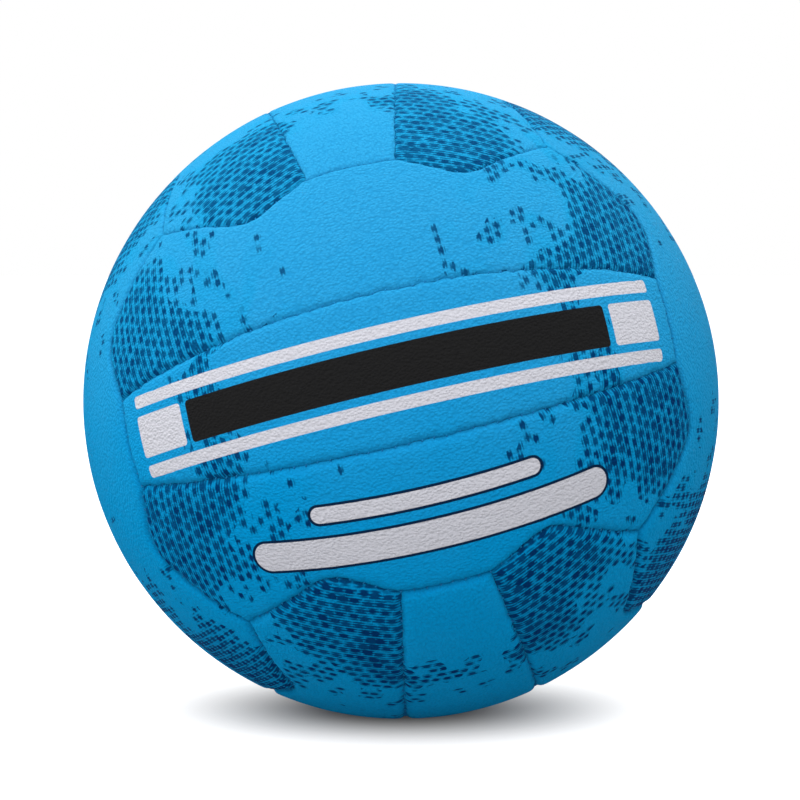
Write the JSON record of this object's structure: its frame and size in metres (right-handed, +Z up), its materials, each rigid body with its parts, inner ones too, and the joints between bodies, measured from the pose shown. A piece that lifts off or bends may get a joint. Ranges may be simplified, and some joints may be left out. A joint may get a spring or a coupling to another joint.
{
  "type": "netball",
  "caption": "Hand-stitched netball in sky blue grained rubber with a halftone print, fabric linings, an inner bladder and a needle valve.",
  "frame": {"origin": "the ball's centre", "axes": "+Z up as the ball stands in the picture, -Y towards its viewer, +X to the viewer's right; the panel layout is nodded back by 11.4 degrees, rolled by 13.1 and turned by 0.6"},
  "size_m": [0.222, 0.222, 0.222],
  "materials": {
    "cover": "fine pebble grain, semi-matt, with a dark blue halftone print",
    "lining": "plain weave, rubberised",
    "thread": "waxed polyester twist",
    "bladder": "dusted butyl, matt",
    "valve_rubber": "moulded, satin",
    "valve_plug": "soft moulded, oiled",
    "patch": "rubberised canvas"
  },
  "bodies": {
    "root": {"front_centre_panel": "cover", "front_upper_panel": "cover", "front_lower_panel": "cover", "back_centre_panel": "cover", "back_upper_panel": "cover", "back_lower_panel": "cover", "top_centre_panel": "cover", "top_right_panel": "cover", "top_left_panel": "cover", "bottom_centre_panel": "cover", "bottom_left_panel": "cover", "bottom_right_panel": "cover", "right_centre_panel": "cover", "right_back_panel": "cover", "right_front_panel": "cover", "left_centre_panel": "cover", "left_back_panel": "cover", "left_front_panel": "cover", "front_centre_lining": "lining", "front_upper_lining": "lining", "front_lower_lining": "lining", "back_centre_lining": "lining", "back_upper_lining": "lining", "back_lower_lining": "lining", "top_centre_lining": "lining", "top_right_lining": "lining", "top_left_lining": "lining", "bottom_centre_lining": "lining", "bottom_left_lining": "lining", "bottom_right_lining": "lining", "right_centre_lining": "lining", "right_back_lining": "lining", "right_front_lining": "lining", "left_centre_lining": "lining", "left_back_lining": "lining", "left_front_lining": "lining", "seam_thread": "thread", "bladder": "bladder", "valve_housing": "valve_rubber", "valve_plug": "valve_plug", "valve_patch": "patch"}
  },
  "joints": []
}
